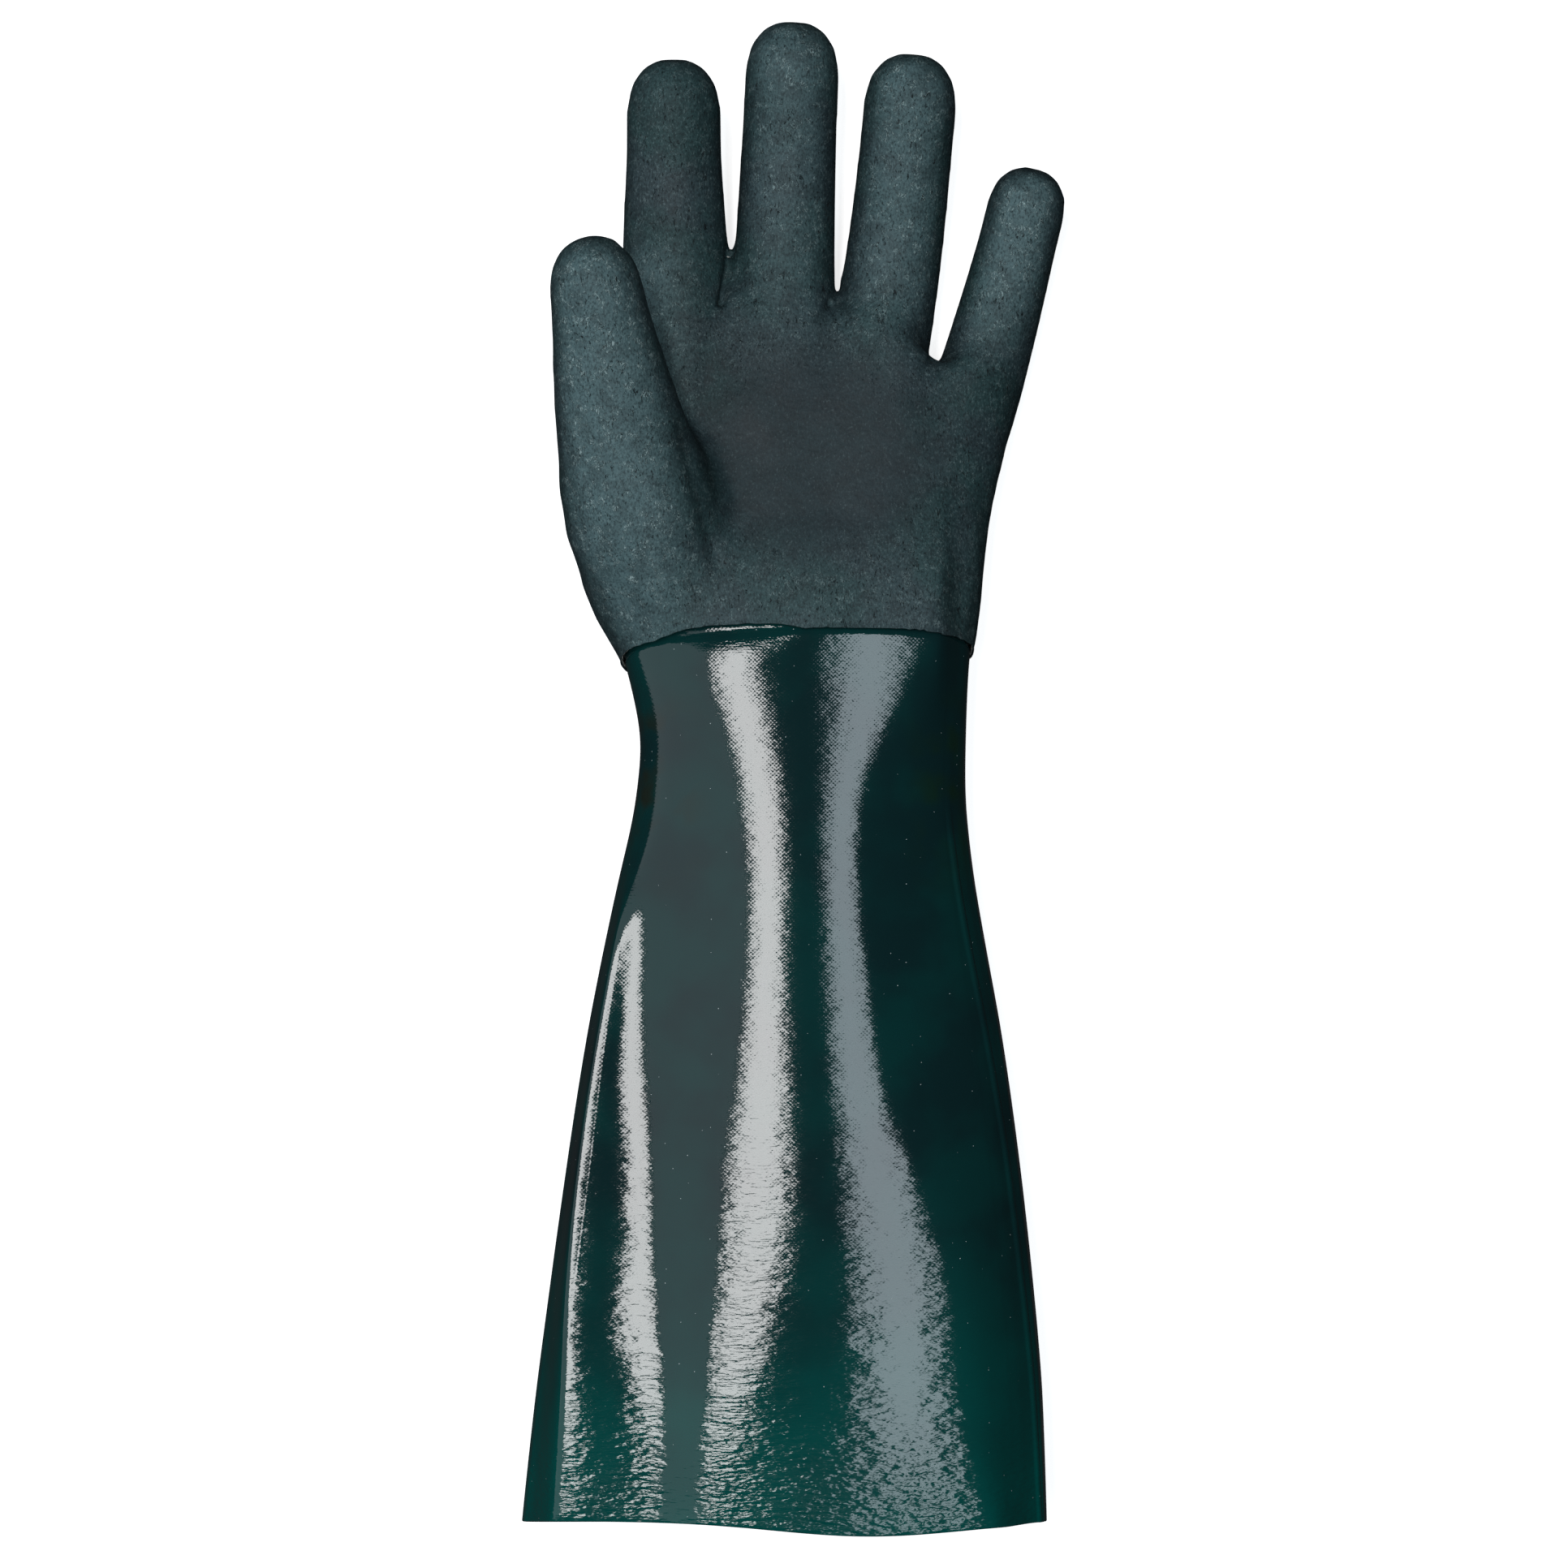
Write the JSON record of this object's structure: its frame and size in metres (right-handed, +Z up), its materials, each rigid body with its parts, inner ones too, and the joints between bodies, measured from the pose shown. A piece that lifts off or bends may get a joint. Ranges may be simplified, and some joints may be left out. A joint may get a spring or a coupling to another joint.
{
  "type": "pvc coated work glove",
  "caption": "Long gauntlet work glove dipped in PVC, with a matte coated hand and a glossy flared sleeve, lying palm up.",
  "frame": {"origin": "bottom centre of the glove's box, on the surface it lies on", "axes": "+X across the hand away from the thumb, +Y from the cuff to the fingertips, +Z up out of the palm"},
  "size_m": [0.1618, 0.4502, 0.071],
  "materials": {
    "gloss_coat": "smooth glossy dark green PVC, slightly leathery towards the cuff",
    "matte_coat": "matte blue-grey PVC with a fine sandy grain"
  },
  "bodies": {
    "root": {"sleeve": "gloss_coat", "palm": "matte_coat", "thumb": "matte_coat", "index_finger": "matte_coat", "middle_finger": "matte_coat", "ring_finger": "matte_coat", "little_finger": "matte_coat"}
  },
  "joints": []
}
